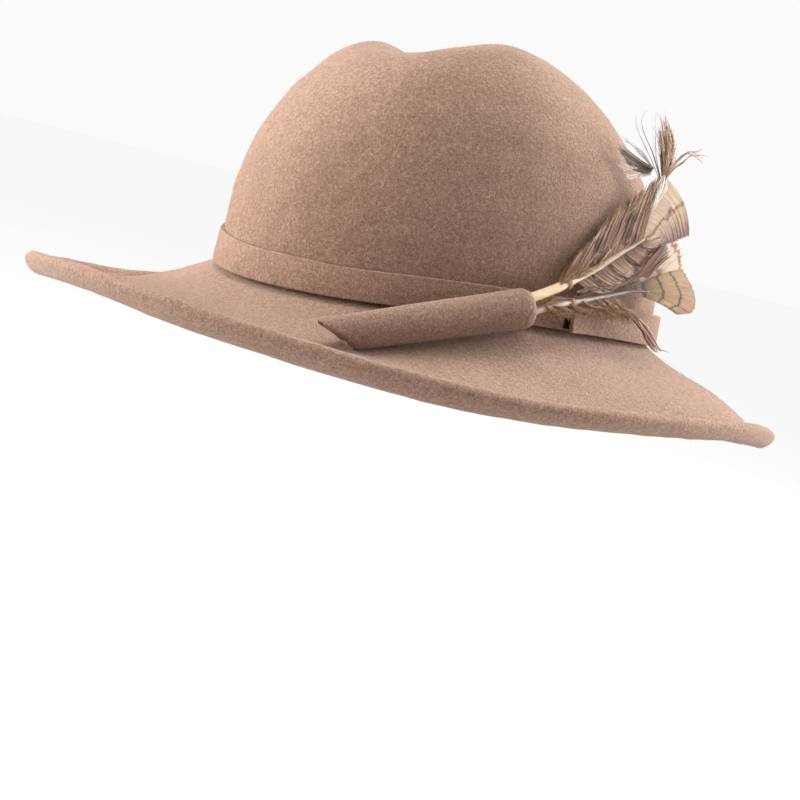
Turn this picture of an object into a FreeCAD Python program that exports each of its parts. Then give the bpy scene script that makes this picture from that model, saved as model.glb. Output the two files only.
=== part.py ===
import FreeCAD, Part
import math
import os
from FreeCAD import Placement, Rotation, Vector

# Fedora hat of wool felt: a blocked crown with one centre dent, a drooping brim with a turned-up edge,
# a felt band, and a rolled felt holder for a spray of pheasant feathers that slides out of it.
# Frame: +Z up, the wearer looks along -Y, +X is the wearer's left. The origin is the middle of the
# head opening, at the level where the crown meets the brim. Millimetres.

doc = FreeCAD.newDocument("FedoraHat")

# ---------------------------------------------------------------- driving dimensions

DRIVING = [
    ("crown_half_length", 101.0, "headline oval, outer face of the crown, half length"),
    ("crown_half_width", 86.6, "headline oval, half width"),
    ("seat_tilt", -5.3, "height of the headline at the front, less at the back"),
    ("seat_saddle", -4.1, "height of the headline at front and back, less at the sides"),
    ("crown_height", 113.4, "height of the dome before it is dented"),
    ("crown_rise", 13.5, "how much higher the dome is over the forehead"),
    ("crown_sag", 10.3, "how much lower the dome is at both ends"),
    ("crown_roundness", 2.05, "2 is an ellipse, more is squarer"),
    ("crown_bulge", 0.134, "how much the dome spreads beyond that shape towards its top, as a share"),
    ("crown_lean", 11.4, "how much higher the dome is on the wearer's left"),
    ("crown_shift_front", 13.7, "how far forward the top of the dome sits"),
    ("crown_shift_left", 5.5, "how far the top of the dome sits towards the wearer's left"),
    ("dent_depth", 33.4, "depth of the centre dent"),
    ("dent_half_width", 22.0, "half width of the dent"),
    ("dent_half_length", 55.2, "half length of the dent"),
    ("dent_middle", 4.2, "how far behind the origin the dent is centred"),
    ("dent_offset", -11.9, "how far the dent lies towards the wearer's right"),
    ("dent_skew", -0.434, "sideways run of the dent for each millimetre back"),
    ("dent_end", 11.3, "how softly the dent runs out at its ends"),
    ("felt_thickness", 2.5, "crown felt"),
    ("brim_thickness", 3.0, "brim felt"),
    ("brim_width", 68.1, "mean width of the brim, without its turned-up edge"),
    ("brim_width_front", 8.0, "extra width at the front, less at the back"),
    ("brim_width_ends", -2.4, "extra width at front and back, less at the sides"),
    ("brim_width_left", -4.2, "extra width on the wearer's left, less on the right"),
    ("edge_drop", -26.7, "mean height of the brim edge"),
    ("edge_front", -0.9, "extra height at the front, less at the back"),
    ("edge_ends", -1.8, "extra height at front and back, less at the sides"),
    ("edge_wave", 4.9, "three-fold wave of the edge"),
    ("edge_twist", 1.7, "two-fold wave of the edge, an eighth turn from front and back"),
    ("edge_wave_left", 0.8, "three-fold wave of the edge, a quarter turn from the other"),
    ("edge_left", 3.3, "extra height on the wearer's left, less on the right"),
    ("root_slope", -0.67, "slope of the brim where it leaves the crown"),
    ("edge_slope", -0.49, "slope of the brim at its edge"),
    ("edge_slope_front", 0.61, "extra slope at the front, less at the back"),
    ("lip_height", 5.2, "mean height of the turned-up edge"),
    ("lip_height_back", 0.7, "extra height of the turned-up edge at the back, less at the front"),
    ("lip_height_left", 1.8, "extra height of the turned-up edge on the wearer's left, less on the right"),
    ("lip_reach", 2.6, "how far the turned-up edge reaches out"),
    ("collar_height", 10.0, "collar of the brim, sewn up inside the crown"),
    ("collar_thickness", 2.2, "felt of the collar, thinned by blocking"),
    ("collar_gap", 1.2, "clearance between collar and crown"),
    ("band_height", 13.5, "felt band"),
    ("band_thickness", 2.1, "felt band"),
    ("band_flare", 1.3, "how far the band's lower edge stands off the headline oval"),
    ("ribbon_height", 23.0, "sweatband"),
    ("ribbon_thickness", 0.8, "sweatband"),
    ("ribbon_lean", 1.6, "how far the sweatband's upper edge leans inwards"),
    ("wire_radius", 0.6, "millinery wire in the brim edge"),
    ("joiner_radius", 1.1, "sleeve that joins the two ends of the wire"),
    ("joiner_length", 14.0, "wire joiner"),
    ("thread_radius", 0.35, "sewing thread"),
    ("holder_length", 95.0, "rolled felt holder, along its axis"),
    ("holder_mouth_radius", 9.3, "outer radius at the rear mouth"),
    ("holder_tail_radius", 8.0, "outer radius at the front end"),
    ("holder_bore_radius", 6.2, "bore that the quills slide in"),
    ("holder_cut_angle", 48.0, "slant of the front end, from square across"),
    ("upper_quill_radius", 2.1, "shaft of the upper feather at its root"),
    ("lower_quill_radius", 1.6, "shaft of the lower feather at its root"),
    ("quill_tip_radius", 0.6, "both shafts at their thin ends"),
    ("quill_inside", 52.0, "length of the shafts inside the holder"),
    ("upper_quill_outside", 70.0, "upper shaft beyond its bend"),
    ("lower_quill_outside", 60.0, "lower shaft beyond its bend"),
    ("quill_rise", 3.0, "upper shaft above the holder's axis"),
    ("quill_fall", 2.9, "lower shaft below the holder's axis"),
    ("binding_wall", 0.7, "thickness of the thread bindings"),
    ("binding_length", 5.0, "length of each thread binding"),
    ("vane_thickness", 1.2, "feather vanes"),
]

sheet = doc.addObject("Spreadsheet::Sheet", "Dimensions")
for row, (alias, value, meaning) in enumerate(DRIVING, start=1):
    sheet.set("A%d" % row, alias)
    sheet.set("B%d" % row, str(value))
    sheet.set("C%d" % row, meaning)
    sheet.setAlias("B%d" % row, alias)
doc.recompute()

SUBPARTS = []


def dim(alias):
    """Value of one driving dimension."""
    return float(getattr(sheet, alias))


def keep(part, name):
    """Make an object one of the hat's sub-parts, under the name it is exported with."""
    part.Label = name
    SUBPARTS.append(part)
    return part


def add(kind, name, **bound):
    """Add a parametric object whose properties are bound to the sheet."""
    made = doc.addObject(kind, name)
    for prop, formula in bound.items():
        made.setExpression(prop, formula)
    return made


def shaped(name, shape):
    """Sub-part with a free-form shape that no primitive or sketch gives."""
    feature = doc.addObject("Part::Feature", name)
    feature.Shape = shape
    feature.Placement = Placement()
    return keep(feature, name)


# ---------------------------------------------------------------- the headline oval and the felt

RING_POINTS = 48
HALF_LENGTH = dim("crown_half_length")
HALF_WIDTH = dim("crown_half_width")
FULL_TURN = 2 * math.pi


def oval_normal(angle):
    """Outward normal of the headline oval; the angle is 0 at the front and grows to the left side."""
    return Vector(math.sin(angle) / HALF_WIDTH, -math.cos(angle) / HALF_LENGTH, 0).normalize()


def oval_point(angle, offset, height):
    """Point beside the headline oval, pushed out by the offset."""
    on_oval = Vector(HALF_WIDTH * math.sin(angle), -HALF_LENGTH * math.cos(angle), height)
    return on_oval + oval_normal(angle) * offset


def seat_height(angle):
    """Height of the line where crown and brim meet."""
    return dim("seat_tilt") * math.cos(angle) + dim("seat_saddle") * math.cos(2 * angle)


def ring_wire(point_at):
    """Closed smooth wire through points spaced evenly round the hat."""
    curve = Part.BSplineCurve()
    points = [point_at(FULL_TURN * step / RING_POINTS) for step in range(RING_POINTS)]
    curve.interpolate(points, PeriodicFlag=True)
    return Part.Wire([curve.toShape()])


def ring_solid(stations):
    """Solid ring whose section goes through the stations, each giving an offset and a height."""
    wires = []
    for station in stations:
        wires.append(ring_wire(lambda angle, at=station: oval_point(angle, *at(angle))))
    return Part.makeLoft(wires, True, True, True)


def fixed(offset, lift):
    """Station at a constant offset and a constant height above the headline."""
    return lambda angle: (offset, seat_height(angle) + lift)


# ---------------------------------------------------------------- crown

CLIMBS = (0.0, 0.08, 0.2, 0.34, 0.48, 0.62, 0.76, 0.9, 1.03, 1.15, 1.26, 1.36, 1.44, 1.51)


def crown_point(angle, climb, growth):
    """Point on the dome: climb runs from 0 at the headline to a right angle at the top."""
    power = 2 / dim("crown_roundness")
    spread = math.cos(climb) ** power
    lift = math.sin(climb) ** power
    spread *= 1 + dim("crown_bulge") * lift
    x = (HALF_WIDTH + growth) * math.sin(angle) * spread + dim("crown_shift_left") * lift
    y = -(HALF_LENGTH + growth) * math.cos(angle) * spread - dim("crown_shift_front") * lift
    along = y / HALF_LENGTH
    top = dim("crown_height") - dim("crown_rise") * along - dim("crown_sag") * along ** 2
    top += dim("crown_lean") * x / HALF_WIDTH + growth
    across = x - dim("dent_offset") - dim("dent_skew") * y
    beyond = abs(y - dim("dent_middle")) - dim("dent_half_length")
    end_fade = 1 / (1 + math.exp(beyond / dim("dent_end")))
    dent = dim("dent_depth") * math.exp(-(across / dim("dent_half_width")) ** 2) * end_fade
    return Vector(x, y, seat_height(angle) * (1 - lift) + top * lift - dent * lift)


def wall_offset(angle, height):
    """How far the crown's outer face stands off the headline oval, at a height above the headline."""
    share = height / (dim("crown_height") + dim("crown_rise") * math.cos(angle)
                      - dim("crown_sag") * math.cos(angle) ** 2 + dim("crown_lean") * math.sin(angle)
                      - seat_height(angle))
    climb = math.asin(share ** (dim("crown_roundness") / 2))
    beside = crown_point(angle, climb, 0.0) - oval_point(angle, 0.0, 0.0)
    return beside.dot(oval_normal(angle))


def crown_skin(growth):
    """Open dome: its lower rim, and its ruled faces from there to the top."""
    rings = [ring_wire(lambda angle, c=climb: crown_point(angle, c, growth)).Edges[0] for climb in CLIMBS]
    faces = [Part.makeRuledSurface(low, high) for low, high in zip(rings, rings[1:])]
    apex = Part.Vertex(crown_point(0.0, math.pi / 2, growth))
    faces += Part.makeLoft([Part.Wire([rings[-1]]), apex], False, True).Faces
    return rings[0], faces


def make_crown():
    """Felt shell of the crown: outer and inner face, closed by its cut edge at the headline."""
    outer_rim, outer = crown_skin(0.0)
    inner_rim, inner = crown_skin(-dim("felt_thickness"))
    shell = Part.makeShell(outer + inner + [Part.makeRuledSurface(outer_rim, inner_rim)])
    shell.sewShape()
    shaped("crown_felt", Part.makeSolid(shell))


# ---------------------------------------------------------------- brim

SEAT_GAP = 0.1
PLATE_STEPS = (0.06, 0.15, 0.3, 0.45, 0.6, 0.75, 0.9, 1.0)
LIP_TURNS = (math.radians(30), math.radians(60), math.radians(90))
COLLAR_OUT = -(dim("felt_thickness") + dim("collar_gap"))
COLLAR_IN = COLLAR_OUT - dim("collar_thickness")


def brim_width(angle):
    return (dim("brim_width") + dim("brim_width_front") * math.cos(angle)
            + dim("brim_width_ends") * math.cos(2 * angle) + dim("brim_width_left") * math.sin(angle))


def edge_height(angle):
    return (dim("edge_drop") + dim("edge_front") * math.cos(angle) + dim("edge_ends") * math.cos(2 * angle)
            + dim("edge_wave") * math.cos(3 * angle) + dim("edge_left") * math.sin(angle)
            + dim("edge_twist") * math.sin(2 * angle) + dim("edge_wave_left") * math.sin(3 * angle))


def lip_height(angle):
    return (dim("lip_height") - dim("lip_height_back") * math.cos(angle)
            + dim("lip_height_left") * math.sin(angle))


def plate_height(angle, part):
    """Height of the brim's top face, part of the way from the headline to the edge."""
    width = brim_width(angle)
    square = part ** 2
    cube = part ** 3
    slope_out = dim("edge_slope") + dim("edge_slope_front") * math.cos(angle)
    return ((2 * cube - 3 * square + 1) * seat_height(angle)
            + (cube - 2 * square + part) * width * dim("root_slope")
            + (3 * square - 2 * cube) * edge_height(angle)
            + (cube - square) * width * slope_out - SEAT_GAP)


def plate_station(part, drop):
    return lambda angle: (part * brim_width(angle), plate_height(angle, part) - drop)


def lip_station(turn, growth):
    """Point on the turned-up edge, which rises through a quarter turn."""
    return lambda angle: (
        brim_width(angle) + dim("lip_reach") * math.sin(turn) + growth,
        edge_height(angle) + lip_height(angle) * (1 - math.cos(turn)))


def make_brim():
    """Brim plate with its collar inside the crown and its turned-up edge."""
    thickness = dim("brim_thickness")
    crest_rise = 1.0
    stations = [fixed(COLLAR_IN, dim("collar_height")), fixed(COLLAR_OUT, dim("collar_height")),
                fixed(COLLAR_OUT, -SEAT_GAP), fixed(0.0, -SEAT_GAP)]
    stations += [plate_station(part, 0.0) for part in PLATE_STEPS]
    stations += [lip_station(turn, 0.0) for turn in LIP_TURNS]
    stations.append(lambda angle: (
        brim_width(angle) + dim("lip_reach") + thickness / 2,
        edge_height(angle) + lip_height(angle) + crest_rise))
    stations += [lip_station(turn, thickness) for turn in reversed(LIP_TURNS)]
    stations += [plate_station(part, thickness) for part in reversed(PLATE_STEPS)]
    stations.append(fixed(COLLAR_IN, -thickness))
    shaped("brim_felt", ring_solid(stations))


def wire_place(angle):
    """Offset and height of the middle of the felt in the brim's turned-up edge."""
    return lip_station(LIP_TURNS[1], dim("brim_thickness") / 2)(angle)


def wire_point(angle):
    return oval_point(angle, *wire_place(angle))


def wire_station(turn):
    """Point on the wire's round section."""
    def at(angle):
        offset, height = wire_place(angle)
        return offset + dim("wire_radius") * math.cos(turn), height + dim("wire_radius") * math.sin(turn)
    return at


def make_brim_wire():
    """Steel millinery wire inside the turned-up edge, and the sleeve that joins its ends."""
    corners = 8
    shaped("brim_wire", ring_solid([wire_station(FULL_TURN * step / corners) for step in range(corners)]))

    back = wire_point(math.pi)
    along = (wire_point(math.pi + 0.01) - wire_point(math.pi - 0.01)).normalize()
    sleeve = add("Part::Cylinder", "JoinerSleeve", Radius="Dimensions.joiner_radius",
                 Height="Dimensions.joiner_length")
    hole = add("Part::Cylinder", "JoinerHole", Radius="Dimensions.wire_radius + 0.05",
               Height="Dimensions.joiner_length")
    joiner = doc.addObject("Part::Cut", "WireJoiner")
    joiner.Base = sleeve
    joiner.Tool = hole
    middle = back - along * (dim("joiner_length") / 2)
    joiner.Placement = Placement(middle, Rotation(Vector(0, 0, 1), along))
    keep(joiner, "wire_joiner")


# ---------------------------------------------------------------- band and sweatband

BAND_LAP_END = math.radians(94)
BAND_LAP_START = math.radians(131)
RIBBON_LAP_END = math.radians(176)
RIBBON_LAP_START = math.radians(188)
STRIP_SECTIONS = 72


def lap_rise(travelled, total, lap, thickness):
    """How far a strip has stepped outwards to pass over its own start."""
    ramp = 0.6 * lap
    into = (travelled - (total - lap - ramp)) / ramp
    return thickness * min(max(into, 0.0), 1.0)


def strip_solid(start, end, section_at):
    """Solid strip that runs round the hat, once and a lap more, from start down to end."""
    total = start - end + FULL_TURN
    sections = []
    for step in range(STRIP_SECTIONS + 1):
        travelled = total * step / STRIP_SECTIONS
        angle = start - travelled
        corners = [oval_point(angle, offset, height)
                   for offset, height in section_at(angle, travelled, total)]
        sections.append(Part.makePolygon(corners + corners[:1]))
    return Part.makeLoft(sections, True, True)


def make_band():
    """One strip of felt round the crown; its end laps over its start on the wearer's left."""
    thickness = dim("band_thickness")
    lap = BAND_LAP_START - BAND_LAP_END
    gap = 0.15
    foot = 0.5

    def section_at(angle, travelled, total):
        step = lap_rise(travelled, total, lap, thickness + gap)
        low = seat_height(angle) + foot
        high = low + dim("band_height")
        inner_top = gap + wall_offset(angle, foot + dim("band_height")) + step
        inner_low = dim("band_flare") + 0.5 * (inner_top + step)
        return [(inner_low, low), (inner_low + thickness, low),
                (inner_top + thickness, high), (inner_top, high)]

    shaped("hat_band", strip_solid(BAND_LAP_START, BAND_LAP_END, section_at))


RIBBON_OUT = COLLAR_IN - 0.15
RIBBON_FOOT = -1.0


def make_sweatband():
    """Grosgrain ribbon sewn inside the head opening; its ends lap at the back."""
    thickness = dim("ribbon_thickness")
    lap = RIBBON_LAP_START - RIBBON_LAP_END
    gap = 0.1

    def section_at(angle, travelled, total):
        step = lap_rise(travelled, total, lap, thickness + gap)
        outer = RIBBON_OUT - step
        low = seat_height(angle) + RIBBON_FOOT
        high = low + dim("ribbon_height")
        lean = dim("ribbon_lean")
        return [(outer - thickness, low), (outer, low),
                (outer - lean, high), (outer - lean - thickness, high)]

    shaped("sweatband", strip_solid(RIBBON_LAP_START, RIBBON_LAP_END, section_at))


# ---------------------------------------------------------------- stitches

def thread_between(start, end):
    """One straight length of sewing thread."""
    run = end - start
    return Part.makeCylinder(dim("thread_radius"), run.Length, start, run)


def stitch_row(name, count, inner, outer, lift, first=0.0, last=FULL_TURN):
    """Row of stitches that pass through the felt between two offsets, as separate solids."""
    stitches = []
    for step in range(count):
        angle = first + (last - first) * (step + 0.5) / count
        height = seat_height(angle) + lift
        stitches.append(thread_between(oval_point(angle, inner, height), oval_point(angle, outer, height)))
    shaped(name, Part.makeCompound(stitches))


def make_stitches():
    inside = COLLAR_IN - 0.1
    stitch_row("headline_stitches", 36, inside, 0.1, 3.0)
    stitch_row("band_stitches", 8, -1.2, dim("band_flare") + 1.2, 2.4)
    stitch_row("sweatband_stitches", 32, RIBBON_OUT - dim("ribbon_thickness") - 0.2, COLLAR_OUT - 1.0, 0.4)


# ---------------------------------------------------------------- quill holder

HOLDER_MOUTH = Vector(98.2, -18.0, 12.4)
HOLDER_AXIS = Vector(8.2, 76.4, 26.2).normalize()
HOLDER_UP = (Vector(0, 0, 1) - HOLDER_AXIS * HOLDER_AXIS.z).normalize()
HOLDER_FRAME = Rotation(HOLDER_UP, HOLDER_AXIS.cross(HOLDER_UP), HOLDER_AXIS, "ZXY")


def make_holder():
    """Felt rolled into a tapered tube along the joint's axis, its front end cut on a slant."""
    outside = add("Part::Cone", "HolderOutside", Radius1="Dimensions.holder_tail_radius",
                  Radius2="Dimensions.holder_mouth_radius", Height="Dimensions.holder_length")
    bore = add("Part::Cylinder", "HolderBore", Radius="Dimensions.holder_bore_radius",
               Height="Dimensions.holder_length")
    tube = doc.addObject("Part::Cut", "HolderTube")
    tube.Base = outside
    tube.Tool = bore
    knife = add("Part::Box", "HolderKnife", Length="6 * Dimensions.holder_tail_radius",
                Width="4 * Dimensions.holder_tail_radius", Height="6 * Dimensions.holder_tail_radius")
    radius = dim("holder_tail_radius")
    slope = math.tan(math.radians(dim("holder_cut_angle")))
    down_cut = Vector(-1, 0, slope).normalize()
    off_cut = Vector(-slope, 0, -1).normalize()
    corner = Vector(radius, -2 * radius, 0) - down_cut * 2 * radius
    knife.Placement = Placement(corner, Rotation(down_cut, Vector(0, 1, 0), off_cut, "ZXY"))
    holder = doc.addObject("Part::Cut", "QuillHolder")
    holder.Base = tube
    holder.Tool = knife
    tail = HOLDER_MOUTH - HOLDER_AXIS * dim("holder_length")
    holder.Placement = Placement(tail, HOLDER_FRAME)
    keep(holder, "quill_holder")


def make_holder_stitches():
    """Two pairs of tacks from the holder into the band and the brim."""
    tacks = []
    for back in (10.0, 16.0):
        foot = HOLDER_MOUTH - HOLDER_AXIS * back - Vector(dim("holder_mouth_radius") - 1.2, 0, 0)
        tacks.append(thread_between(foot, foot - Vector(2.4, 0, 0)))
    shaped("holder_stitches", Part.makeCompound(tacks))


# ---------------------------------------------------------------- feather spray

SPRAY_LEAN = math.radians(10)
SPRAY_ALONG = Vector(-0.13, 0.9915, 0).normalize()
SPRAY_LEVEL_OUT = SPRAY_ALONG.cross(Vector(0, 0, 1))
SPRAY_UP = Vector(0, 0, math.cos(SPRAY_LEAN)) - SPRAY_LEVEL_OUT * math.sin(SPRAY_LEAN)
SPRAY_OUT = SPRAY_ALONG.cross(SPRAY_UP)
SPRAY_ORIGIN = Vector(100.4, -14.7, 0.0)


def spray_point(along, height, out=0.0):
    """Point in the feathers' own plane, which leans towards the crown: to the rear, up and out."""
    return SPRAY_ORIGIN + SPRAY_ALONG * along + SPRAY_UP * height + SPRAY_OUT * out


def make_quill(name, label, radius, outside, offset, bend, tip):
    """Feather shaft: a straight part in the holder, a bend at the mouth and a tapering part."""
    start = HOLDER_MOUTH + HOLDER_UP * offset - HOLDER_AXIS * dim("quill_inside")
    knee = HOLDER_MOUTH + HOLDER_UP * offset + HOLDER_AXIS * bend
    shank = add("Part::Cylinder", name + "Shank", Radius="Dimensions." + radius)
    shank.Height = (knee - start).Length
    shank.Placement = Placement(start, HOLDER_FRAME)
    joint = add("Part::Sphere", name + "Bend", Radius="Dimensions." + radius)
    joint.Placement = Placement(knee, Rotation())
    taper = add("Part::Cone", name + "Taper", Radius1="Dimensions." + radius,
                Radius2="Dimensions.quill_tip_radius", Height="Dimensions." + outside)
    taper.Placement = Placement(knee, Rotation(Vector(0, 0, 1), tip - knee))
    shaft = doc.addObject("Part::MultiFuse", name)
    shaft.Shapes = [shank, joint, taper]
    keep(shaft, label)
    return knee, (tip - knee).normalize()


def make_binding(name, label, radius, knee, direction, along):
    """Thread wound round a shaft."""
    wound = add("Part::Cylinder", name + "Outside", Radius="Dimensions.%s + Dimensions.binding_wall" % radius,
                Height="Dimensions.binding_length")
    core = add("Part::Cylinder", name + "Core", Radius="Dimensions.%s" % radius,
               Height="Dimensions.binding_length")
    ring = doc.addObject("Part::Cut", name)
    ring.Base = wound
    ring.Tool = core
    ring.Placement = Placement(knee + direction * along, Rotation(Vector(0, 0, 1), direction))
    keep(ring, label)


def make_vane(name, label, out, outline):
    """Flat vane: its outline is given along and up in the spray's plane, then padded."""
    body = doc.addObject("PartDesign::Body", name)
    sketch = body.newObject("Sketcher::SketchObject", name + "Outline")
    plane = [item for item in body.Origin.OriginFeatures if item.Role == "XY_Plane"][0]
    sketch.AttachmentSupport = [(plane, "")]
    sketch.MapMode = "FlatFace"
    corners = [Vector(along, height, 0) for along, height in outline]
    for start, end in zip(corners, corners[1:] + corners[:1]):
        sketch.addGeometry(Part.LineSegment(start, end))
    pad = body.newObject("PartDesign::Pad", name + "Pad")
    pad.Profile = sketch
    pad.setExpression("Length", "Dimensions.vane_thickness")
    body.Tip = pad
    turn = Rotation(SPRAY_ALONG, SPRAY_UP, SPRAY_OUT, "XYZ")
    body.Placement = Placement(spray_point(0, 0, out), turn)
    keep(body, label)


UPPER_VANE = [(16, 28), (27, 45), (38, 58), (50, 67), (58, 73), (62, 79), (74, 72), (79, 64),
              (83, 56), (75, 54), (64, 48), (58, 36), (41, 29), (26, 27)]
LOWER_VANE = [(29, 20), (60, 30), (67, 40), (75, 54), (82, 45), (90, 37), (96, 29), (95, 25),
              (84, 24), (72, 24), (61, 26), (38, 20)]
PLUME = [(62, 78), (56, 82), (49, 91), (44, 104), (47, 103), (55, 94), (55, 106), (59, 104),
         (65, 92), (76, 92), (86, 92), (74, 88), (69, 81)]
DARK_FEATHER = [(40, 91), (49, 90), (62, 84), (61, 77), (53, 78), (45, 84)]
RUST_FEATHER = [(54, 34), (56, 45), (68, 51), (66, 43), (60, 35)]
HANGING_STRAND = [(45, 19), (60, 16), (74, 7), (82, 4), (72, 4), (61, 12)]
DOWN_TUFT = [(8, 11), (24, 14), (40, 17), (48, 17), (36, 12), (16, 8), (8, 8)]


def make_spray():
    """Two pheasant feathers and their small companions, pushed into the holder by their shafts."""
    knee, direction = make_quill("UpperQuill", "upper_quill", "upper_quill_radius",
                                 "upper_quill_outside", dim("quill_rise"), 1.0, spray_point(57, 51))
    make_binding("UpperBinding", "upper_binding", "upper_quill_radius", knee, direction, 9.0)
    knee, direction = make_quill("LowerQuill", "lower_quill", "lower_quill_radius",
                                 "lower_quill_outside", -dim("quill_fall"), 2.0, spray_point(62, 29, -0.6))
    make_binding("LowerBinding", "lower_binding", "lower_quill_radius", knee, direction, 12.0)
    make_vane("UpperVane", "upper_vane", -0.6, UPPER_VANE)
    make_vane("LowerVane", "lower_vane", -1.9, LOWER_VANE)
    make_vane("Plume", "plume_barbs", -0.6, PLUME)
    make_vane("DarkFeather", "dark_feather", -5.0, DARK_FEATHER)
    make_vane("RustFeather", "rust_feather", 1.5, RUST_FEATHER)
    make_vane("HangingStrand", "hanging_strand", 1.5, HANGING_STRAND)
    make_vane("DownTuft", "down_tuft", 1.8, DOWN_TUFT)


make_crown()
make_brim()
make_brim_wire()
make_band()
make_sweatband()
make_stitches()
make_holder()
make_holder_stitches()
make_spray()

# ---------------------------------------------------------------- check and export

doc.recompute()
for item in doc.Objects:
    if "Invalid" in item.State or "Error" in item.State:
        raise RuntimeError("%s failed to recompute: %s" % (item.Name, item.State))

os.makedirs("parts", exist_ok=True)
for part in SUBPARTS:
    shape = part.Shape
    if shape.isNull() or not shape.isValid():
        raise RuntimeError("%s has no valid shape" % part.Label)
    if not shape.Solids:
        raise RuntimeError("%s holds no solid" % part.Label)
    shape.exportStep("parts/%s.step" % part.Label)
    print("%-20s %2d solids  %10.1f mm3" % (part.Label, len(shape.Solids), shape.Volume))
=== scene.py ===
import math

import bmesh
import bpy
import numpy as np
from mathutils import Matrix, Vector


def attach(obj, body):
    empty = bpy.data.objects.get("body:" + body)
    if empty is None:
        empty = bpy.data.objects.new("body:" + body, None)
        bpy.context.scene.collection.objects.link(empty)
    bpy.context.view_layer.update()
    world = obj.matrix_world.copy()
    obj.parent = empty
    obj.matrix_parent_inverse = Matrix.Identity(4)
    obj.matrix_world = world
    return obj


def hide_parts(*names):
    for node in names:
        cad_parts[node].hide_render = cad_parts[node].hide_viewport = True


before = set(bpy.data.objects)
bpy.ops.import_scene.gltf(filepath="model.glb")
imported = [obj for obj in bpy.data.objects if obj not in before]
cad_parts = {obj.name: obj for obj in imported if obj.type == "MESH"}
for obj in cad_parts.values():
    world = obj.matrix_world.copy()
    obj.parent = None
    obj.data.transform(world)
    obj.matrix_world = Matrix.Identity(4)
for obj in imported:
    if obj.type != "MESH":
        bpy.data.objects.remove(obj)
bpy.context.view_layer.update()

# Shapes are worked out in millimetres, in the row frame: +Z up, -Y the way the wearer faces, +X the
# wearer's left. An angle is 0 at the front and grows towards the wearer's left.

MM = 0.001
TURN = 2 * math.pi
HALF_LENGTH = 101.0
HALF_WIDTH = 86.6
SEAT_TILT, SEAT_SADDLE = -5.3, -4.1
FELT = 2.5
CROWN_HEIGHT, CROWN_RISE, CROWN_SAG, CROWN_LEAN = 113.4, 13.5, 10.3, 11.4
CROWN_ROUNDNESS, CROWN_BULGE = 2.05, 0.134
CROWN_SHIFT_LEFT, CROWN_SHIFT_FRONT = 5.5, 13.7
DENT_DEPTH, DENT_HALF_WIDTH, DENT_HALF_LENGTH = 33.4, 22.0, 55.2
DENT_OFFSET, DENT_SKEW, DENT_MIDDLE, DENT_END = 11.9, 0.434, 4.2, 11.3
BRIM_FELT = 3.0
ROOT_SLOPE, EDGE_SLOPE, EDGE_SLOPE_FRONT = -0.67, -0.49, 0.61
LIP_REACH, LIP_LEAST, LIP_MORE, LIP_SWELL, LIP_ROLL = 2.6, 1.2, 4.9, 2.5, 7.0
COLLAR_OUT, COLLAR_IN, COLLAR_HEIGHT, COLLAR_ROUND = -3.7, -5.9, 10.0, 0.6
BAND_TALL, BAND_THICK, BAND_GAP, BAND_FLARE, BAND_FOOT, BAND_LOOSE = 13.5, 2.1, 0.15, 1.3, 0.5, 2.6

# ---- mesh helpers


def unit(vectors):
    return vectors / np.maximum(np.linalg.norm(vectors, axis=-1, keepdims=True), 1e-9)


def ripple(points, wavelength, seed):
    """Smooth irregular height, from about -1 to 1."""
    random = np.random.default_rng(seed)
    total = np.zeros(points.shape[:-1])
    waves = 16
    for _ in range(waves):
        way = unit(random.normal(size=3))
        length = wavelength * random.uniform(0.7, 1.6)
        total += np.sin(points @ way * TURN / length + random.uniform(0, TURN))
    return total / math.sqrt(waves)


def smooth_line(controls, at):
    """Points along a smooth line through the controls; at runs from 0 to 1."""
    controls = np.asarray(controls, float)
    last = len(controls) - 1
    padded = np.vstack([2 * controls[0] - controls[1], controls, 2 * controls[-1] - controls[-2]])
    place = np.clip(np.asarray(at, float), 0, 1) * last
    index = np.minimum(place.astype(int), last - 1)
    t = (place - index)[..., None]
    a, b, c, d = (padded[index + step] for step in range(4))
    square, cube = 2 * a - 5 * b + 4 * c - d, 3 * b - a - 3 * c + d
    return 0.5 * (2 * b + (c - a) * t + square * t ** 2 + cube * t ** 3)


def grid_faces(rows, columns, close_rows=False, close_columns=False, start=0):
    """Quads between the points of a grid."""
    index = start + np.arange(rows * columns).reshape(rows, columns)
    if close_rows:
        index = np.vstack([index, index[:1]])
    if close_columns:
        index = np.hstack([index, index[:, :1]])
    corners = [index[:-1, :-1], index[1:, :-1], index[1:, 1:], index[:-1, 1:]]
    return np.stack(corners, -1).reshape(-1, 4).tolist()


def add_object(name, data):
    made = bpy.data.objects.new(name, data)
    bpy.context.scene.collection.objects.link(made)
    return made


def build(name, points, faces, material, uv=None, shade=None, closed=False):
    """Mesh object from points in millimetres."""
    mesh = bpy.data.meshes.new(name)
    mesh.from_pydata((np.asarray(points, float) * MM).tolist(), [], faces)
    if uv is not None:
        layer = mesh.uv_layers.new(name="UVMap")
        corner = np.empty(len(mesh.loops), dtype=np.int32)
        mesh.loops.foreach_get("vertex_index", corner)
        layer.data.foreach_set("uv", np.asarray(uv, dtype=np.float32)[corner].ravel())
    if shade is not None:
        layer = mesh.attributes.new("shade", "FLOAT", "POINT")
        layer.data.foreach_set("value", np.asarray(shade, dtype=np.float32))
    if closed:
        work = bmesh.new()
        work.from_mesh(mesh)
        bmesh.ops.recalc_face_normals(work, faces=work.faces)
        work.to_mesh(mesh)
        work.free()
    mesh.polygons.foreach_set("use_smooth", [True] * len(mesh.polygons))
    mesh.materials.append(material)
    return add_object(name, mesh)


def finish_piece(made, body, slot, *nodes):
    """The piece rides on its body and stands for its CAD nodes; the slot is not used."""
    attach(made, body)
    if nodes:
        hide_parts(*nodes)
    return made


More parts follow.
